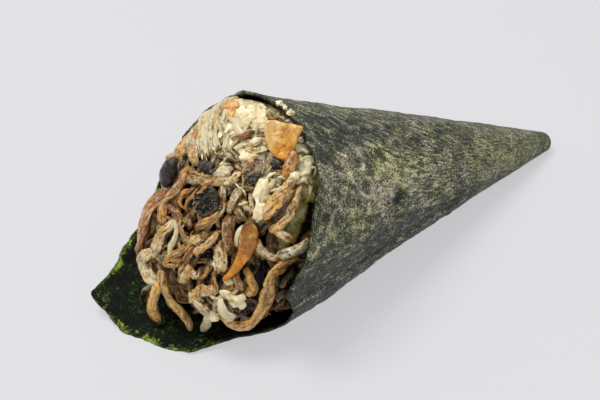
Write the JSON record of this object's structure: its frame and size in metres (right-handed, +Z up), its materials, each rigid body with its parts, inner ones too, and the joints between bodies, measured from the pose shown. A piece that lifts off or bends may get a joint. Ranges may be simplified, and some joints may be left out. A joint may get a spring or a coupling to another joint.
{
  "type": "temaki hand roll",
  "caption": "Cone of toasted seaweed lying on its side, open end heaped with mushroom strips, cream cheese and golden slices over rice.",
  "frame": {"origin": "centre of the bounding box's footprint, on the surface the roll lies on", "axes": "+Z up; the cone lies along X with its tip at +X and its open end at -X; the near side with the outer free edge of the sheet is -Y"},
  "size_m": [0.1376, 0.0564, 0.0516],
  "materials": {
    "nori": "toasted seaweed sheet, dark green, fibrous, satin gloss",
    "rice": "cooked rice, slightly translucent, moist",
    "mushroom": "cooked mushroom strips, golden brown to beige, wet",
    "dark_cap": "dark mushroom cap, near black, wet gloss",
    "golden_slice": "golden orange slice, moist",
    "cream_cheese": "cream cheese, soft off-white, satin"
  },
  "bodies": {
    "root": {"nori": "nori", "rice": "rice", "mushroom_heap": "mushroom", "cap_left": "dark_cap", "cap_middle": "dark_cap", "golden_slice_top": "golden_slice", "golden_slice_front": "golden_slice", "cream_cheese": "cream_cheese"}
  },
  "joints": []
}
